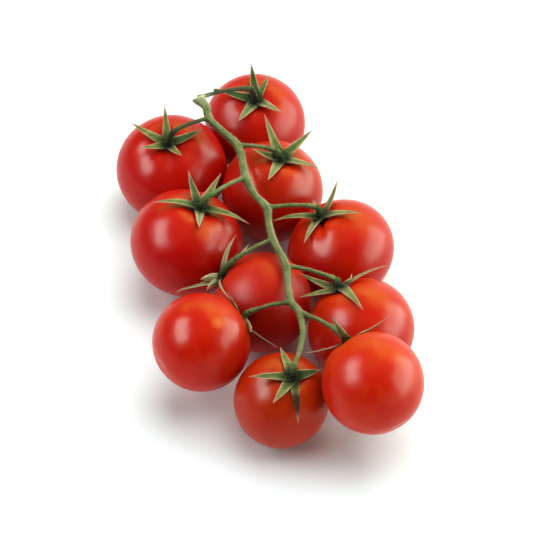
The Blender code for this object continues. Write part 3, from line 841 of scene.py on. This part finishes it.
def add_sepal(bm, layers, frame, trees, number, place):
    """Channelled blade with thin edges, which keeps clear of the fruits."""
    bearing, pitch, length, curl, width, roll = SEPALS[number][place]
    seed = 10 * number + place
    roll = math.radians(roll)
    turn = Matrix.Rotation(math.radians(bearing), 4, "Z")
    rings = []
    marks = []
    for step, (out, up, angle) in enumerate(sepal_spine(pitch, length, curl)):
        share = step / SEPAL_STEPS
        half = sepal_half_width(share, width)
        ring = []
        mark = []
        for face in (1, 0):
            order = range(SEPAL_ACROSS + 1) if face else range(SEPAL_ACROSS, -1, -1)
            for k in order:
                across = 2 * k / SEPAL_ACROSS - 1
                ripple = noise.noise(Vector((share * SEPAL_WAVES[0], across * SEPAL_WAVES[1], seed)))
                reach = across * half * (1 + SEPAL_WAVE * ripple)
                fold = SEPAL_FOLD * half * abs(across) ** SEPAL_CHANNEL
                thick = SEPAL_EDGE + (SEPAL_THICKNESS - SEPAL_EDGE) * (1 - across * across)
                lift = fold + face * thick * min(1, SEPAL_THIN + half / MM) * MM
                aside = reach * math.cos(roll) - lift * math.sin(roll)
                rise = reach * math.sin(roll) + lift * math.cos(roll)
                point = Vector((out - rise * math.sin(angle), aside, up + rise * math.cos(angle)))
                gap = FRUIT_GAP + SEPAL_LIFT + face * thick
                ring.append(pushed_clear(frame @ turn @ point, trees, gap * MM))
                mark.append((share, abs(across)))
        rings.append(ring)
        marks.append(mark)
    for made, mark in zip(skin_rings(bm, rings), marks):
        for vert, (share, across) in zip(made, mark):
            vert[layers["along"]] = share
            vert[layers["aside"]] = across
            vert[layers["blade"]] = 1
            vert[layers["tone"]] = SEPAL_TONES[number][place]
            vert[layers["withered"]] = 1 if (number, place) == WITHERED else 0


def add_neck(bm, layers, frame, path, tone):
    """Adds the thick neck from the knuckle down to the calyx, where it flares out."""
    last = len(path) - 1

    def radius(i, angle):
        share = i / last
        knuckle = (KNUCKLE_RADIUS - NECK_RADIUS) * math.exp(-((share / NECK_SPREAD) ** 2))
        flare = (RIM_RADIUS - NECK_RADIUS) * max(0, (share - NECK_FLARE) / (1 - NECK_FLARE)) ** 2
        return ridged((NECK_RADIUS + knuckle + flare) * knuckle_end(i), angle, share)

    up = frame.to_3x3() @ Vector((0, 0, 1))
    for i, ring in enumerate(skin_rings(bm, tube_rings(path, radius, STALK_SIDES, (None, up)))):
        for vert in ring:
            vert[layers["along"]] = i / last
            vert[layers["tone"]] = tone


def add_rim(bm, layers, frame):
    """Adds the low round rim that the sepals grow from."""
    rings = []
    for radius, rise in RIM_OUTLINE:
        ring = []
        for k in range(STALK_SIDES):
            angle = math.tau * k / STALK_SIDES
            ring.append(frame @ Vector((math.cos(angle) * radius * RIM_RADIUS * MM,
                                        math.sin(angle) * radius * RIM_RADIUS * MM,
                                        (FRUIT_GAP + rise * RIM_HEIGHT) * MM)))
        rings.append(ring)
    for ring in skin_rings(bm, rings):
        for vert in ring:
            # The rim takes the neck's far end, so it is painted in the near-black shade of the calyx
            # centre.
            vert[layers["along"]] = 1


def make_calyx(number, trees, material):
    frame = calyx_frame(number)
    bm = bmesh.new()
    names = ("along", "aside", "blade", "tone", "withered")
    layers = {name: bm.verts.layers.float.new(name) for name in names}
    _, path = stalk_paths(number, trees)
    add_neck(bm, layers, frame, path, DARK_STALKS.get(number, 0))
    add_rim(bm, layers, frame)
    for place in range(len(SEPALS[number])):
        add_sepal(bm, layers, frame, trees, number, place)
    bmesh.ops.recalc_face_normals(bm, faces=bm.faces)
    name = f"calyx_{number:02d}"
    return add_piece(f"{name}_blades", bm, material, name)


def make_hairs(carrier, density, material, seed):
    """Fine short hairs that stand out from a green piece, each a slim three-sided spike."""
    draw = random.Random(seed)
    mesh = carrier.data
    mesh.calc_loop_triangles()
    corners = [vert.co for vert in mesh.vertices]
    bm = bmesh.new()
    for face in mesh.loop_triangles:
        share = face.area / (MM * MM) * density
        count = int(share) + (draw.random() < share % 1)
        a, b, c = (corners[k] for k in face.vertices)
        for _ in range(count):
            u = draw.random()
            v = draw.random()
            if u + v > 1:
                u, v = 1 - u, 1 - v
            root = a + (b - a) * u + (c - a) * v
            lean = Vector([draw.uniform(-HAIR_LEAN, HAIR_LEAN) for _ in range(3)])
            along = (face.normal + lean).normalized()
            tip = root + along * draw.uniform(*HAIR_LENGTH) * MM
            side = along.orthogonal().normalized() * HAIR_RADIUS * MM
            spin = along.cross(side)
            foot = root - along * HAIR_ROOT * MM
            angles = [math.tau * k / HAIR_SIDES for k in range(HAIR_SIDES)]
            base = [bm.verts.new(foot + side * math.cos(t) + spin * math.sin(t)) for t in angles]
            point = bm.verts.new(tip)
            bm.faces.new(reversed(base))
            for k in range(HAIR_SIDES):
                bm.faces.new((base[k], base[(k + 1) % HAIR_SIDES], point))
    return add_piece(carrier.name.rsplit("_", 1)[0] + "_hairs", bm, material)


# Stage


CAMERA_TARGET = Vector((4.15, 7.80, 24.23)) * MM
CAMERA_DISTANCE = 708.75 * MM
CAMERA_PITCH = math.radians(48)
CAMERA_LENS = 135.0
CAMERA_NEAR = 0.01
SENSOR_WIDTH = 36.0
FLOOR_SIZE = 3.0
FLOOR_DROP = 0.05          # how far the floor lies under the table's height, so that no faces meet
FLOOR_COLOUR = (0.90, 0.96, 0.96)
EXPOSURE = 0.35
GAMMA = 0.80
WALL_COLOUR = (0.80, 0.80, 0.80)
WALL_STRENGTH = (0.20, 2.80)                   # of the walls on the left and on the right
WALL_SPLIT = -0.3          # where they start to brighten: -1 = far left, 1 = far right
CEILING_COLOUR = (0.02, 0.02, 0.02)
WALL_TOP = (0.05, 0.45)    # height over which the walls fade into the ceiling, as a share of 1
# Lights: those with shine only make highlights, the others only brighten. Lengths are in metres.
LIGHTS = {
    "window": dict(shine=True, direction=(-0.70, -0.07, 0.70), distance=1.0, size=(0.52, 0.92),
                   along=(0.12, 0.97, 0.19), power=18.0, colour=(0.50, 1.0, 1.0)),
    "sky": dict(shine=False, direction=(0.30, 0.26, 0.92), distance=1.5, size=(1.9, 1.9),
                along=(0, 1, 0), power=29.0, colour=(1.0, 1.0, 1.0)),
    "lamp": dict(shine=True, direction=(0.46, 0.60, 0.64), distance=1.3, size=(1.1, 1.1),
                 along=(0, 1, 0), power=12.0, colour=(0.35, 1.0, 0.22)),
    "glow": dict(shine=True, direction=(-0.10, 0.80, 0.52), distance=1.4, size=(1.5, 0.8),
                 along=(0, 0, 1), power=7.5, colour=(0.10, 1.0, 0.36)),
    "fill": dict(shine=False, direction=(-0.80, -0.10, 0.58), distance=1.2, size=(1.2, 1.0),
                 along=(0, 0, 1), power=7.5, colour=(1.0, 1.0, 1.0)),
    "side": dict(shine=True, direction=(0.93, 0.02, 0.27), distance=0.8, size=(1.0, 0.75),
                 along=(0, 0, 1), power=19.0, colour=(0.30, 1.0, 0.88)),
}


def set_camera():
    data = bpy.data.cameras.new("camera")
    data.lens = CAMERA_LENS
    data.sensor_width = SENSOR_WIDTH
    data.clip_start = CAMERA_NEAR
    camera = bpy.data.objects.new("camera", data)
    back = Vector((0, -math.cos(CAMERA_PITCH), math.sin(CAMERA_PITCH)))
    camera.location = CAMERA_TARGET + back * CAMERA_DISTANCE
    camera.rotation_euler = (math.pi / 2 - CAMERA_PITCH, 0, 0)
    bpy.context.scene.collection.objects.link(camera)
    bpy.context.scene.camera = camera


def add_light(name, shine, direction, distance, size, along, power, colour):
    """Area light that faces the truss from this direction; size is across and along its long side."""
    data = bpy.data.lights.new(name, "AREA")
    data.shape = "RECTANGLE"
    data.size, data.size_y = size
    data.energy = power
    data.color = colour
    light = bpy.data.objects.new(name, data)
    back = Vector(direction).normalized()
    up = Vector(along)
    up = (up - up.dot(back) * back).normalized()
    turn = Matrix((up.cross(back), up, back)).transposed().to_4x4()
    light.matrix_world = Matrix.Translation(CAMERA_TARGET + back * distance) @ turn
    light.visible_glossy = shine
    light.visible_diffuse = not shine
    bpy.context.scene.collection.objects.link(light)


def add_floor():
    bm = bmesh.new()
    bmesh.ops.create_grid(bm, x_segments=1, y_segments=1, size=FLOOR_SIZE)
    mesh = bpy.data.meshes.new("floor")
    bm.to_mesh(mesh)
    bm.free()
    mesh.materials.append(floor_material())
    floor = bpy.data.objects.new("floor", mesh)
    floor.location.z = -FLOOR_DROP * MM
    bpy.context.scene.collection.objects.link(floor)


def set_world():
    """Pale studio walls round the horizon, brighter on the right, and a dim ceiling."""
    world = bpy.data.worlds.new("studio")
    world.use_nodes = True
    tree = world.node_tree
    place = tree.nodes.new("ShaderNodeTexCoord")
    axis = tree.nodes.new("ShaderNodeSeparateXYZ")
    ramp = tree.nodes.new("ShaderNodeValToRGB")
    first, last = ramp.color_ramp.elements
    first.position, first.color = WALL_TOP[0], (*WALL_COLOUR, 1)
    last.position, last.color = WALL_TOP[1], (*CEILING_COLOUR, 1)
    tree.links.new(place.outputs["Generated"], axis.inputs["Vector"])
    tree.links.new(axis.outputs["Z"], ramp.inputs["Fac"])
    tree.links.new(ramp.outputs["Color"], tree.nodes["Background"].inputs["Color"])
    strength = tree.nodes.new("ShaderNodeMapRange")
    strength.inputs["From Min"].default_value = WALL_SPLIT
    strength.inputs["From Max"].default_value = 1
    strength.inputs["To Min"].default_value, strength.inputs["To Max"].default_value = WALL_STRENGTH
    tree.links.new(axis.outputs["X"], strength.inputs["Value"])
    tree.links.new(strength.outputs["Result"], tree.nodes["Background"].inputs["Strength"])
    bpy.context.scene.world = world


def set_stage():
    add_floor()
    set_world()
    for name, light in LIGHTS.items():
        add_light(name, **light)
    view = bpy.context.scene.view_settings
    view.view_transform = "Standard"
    view.exposure = EXPOSURE
    view.gamma = GAMMA


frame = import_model()
set_camera()
set_stage()
trees = [surface_tree(make_fruit(number)) for number in FRUITS]
hair = hair_material()
stem = make_stem(trees, stem_material())
make_hairs(stem, HAIR_DENSITY["stem"], hair, 1)
green = calyx_material()
for number in FRUITS:
    calyx = make_calyx(number, trees, green)
    make_hairs(calyx, HAIR_DENSITY["calyx"], hair, 10 + number)
